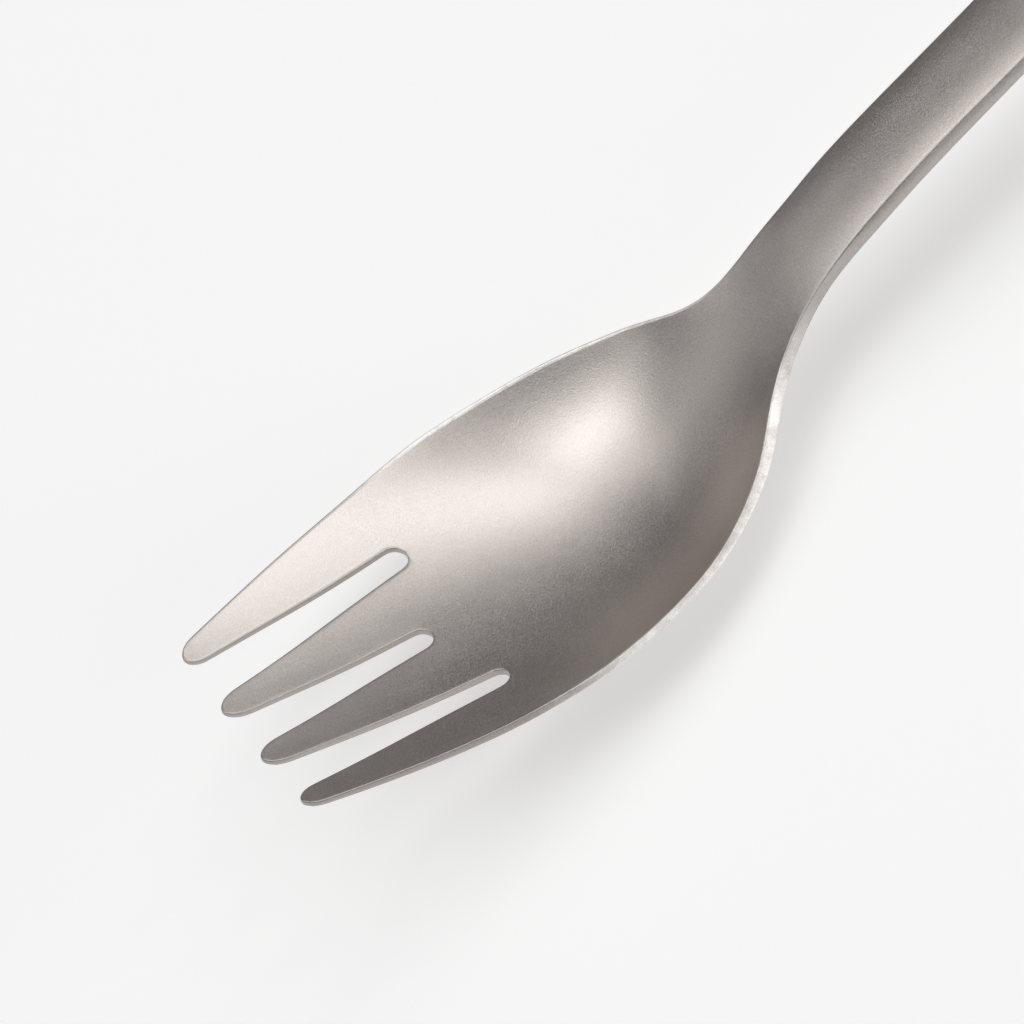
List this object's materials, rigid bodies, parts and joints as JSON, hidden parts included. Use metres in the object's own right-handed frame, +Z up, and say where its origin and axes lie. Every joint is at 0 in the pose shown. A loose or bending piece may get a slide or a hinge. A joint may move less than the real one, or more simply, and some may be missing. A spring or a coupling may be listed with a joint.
{
  "type": "spork",
  "caption": "Camping spork pressed from titanium sheet, with a shallow spoon bowl, four short tines and a slim arched handle.",
  "frame": {"origin": "on the floor, under the middle of the spork's box", "axes": "+X from the tine tips to the handle's end, +Y across, +Z up out of the bowl; it rests on the bowl's belly and the handle's end"},
  "size_m": [0.1656, 0.0392, 0.0185],
  "materials": {
    "titanium": "bead-blasted titanium, warm grey, with brighter ground edges"
  },
  "bodies": {
    "root": {"spork": "titanium"}
  },
  "joints": []
}
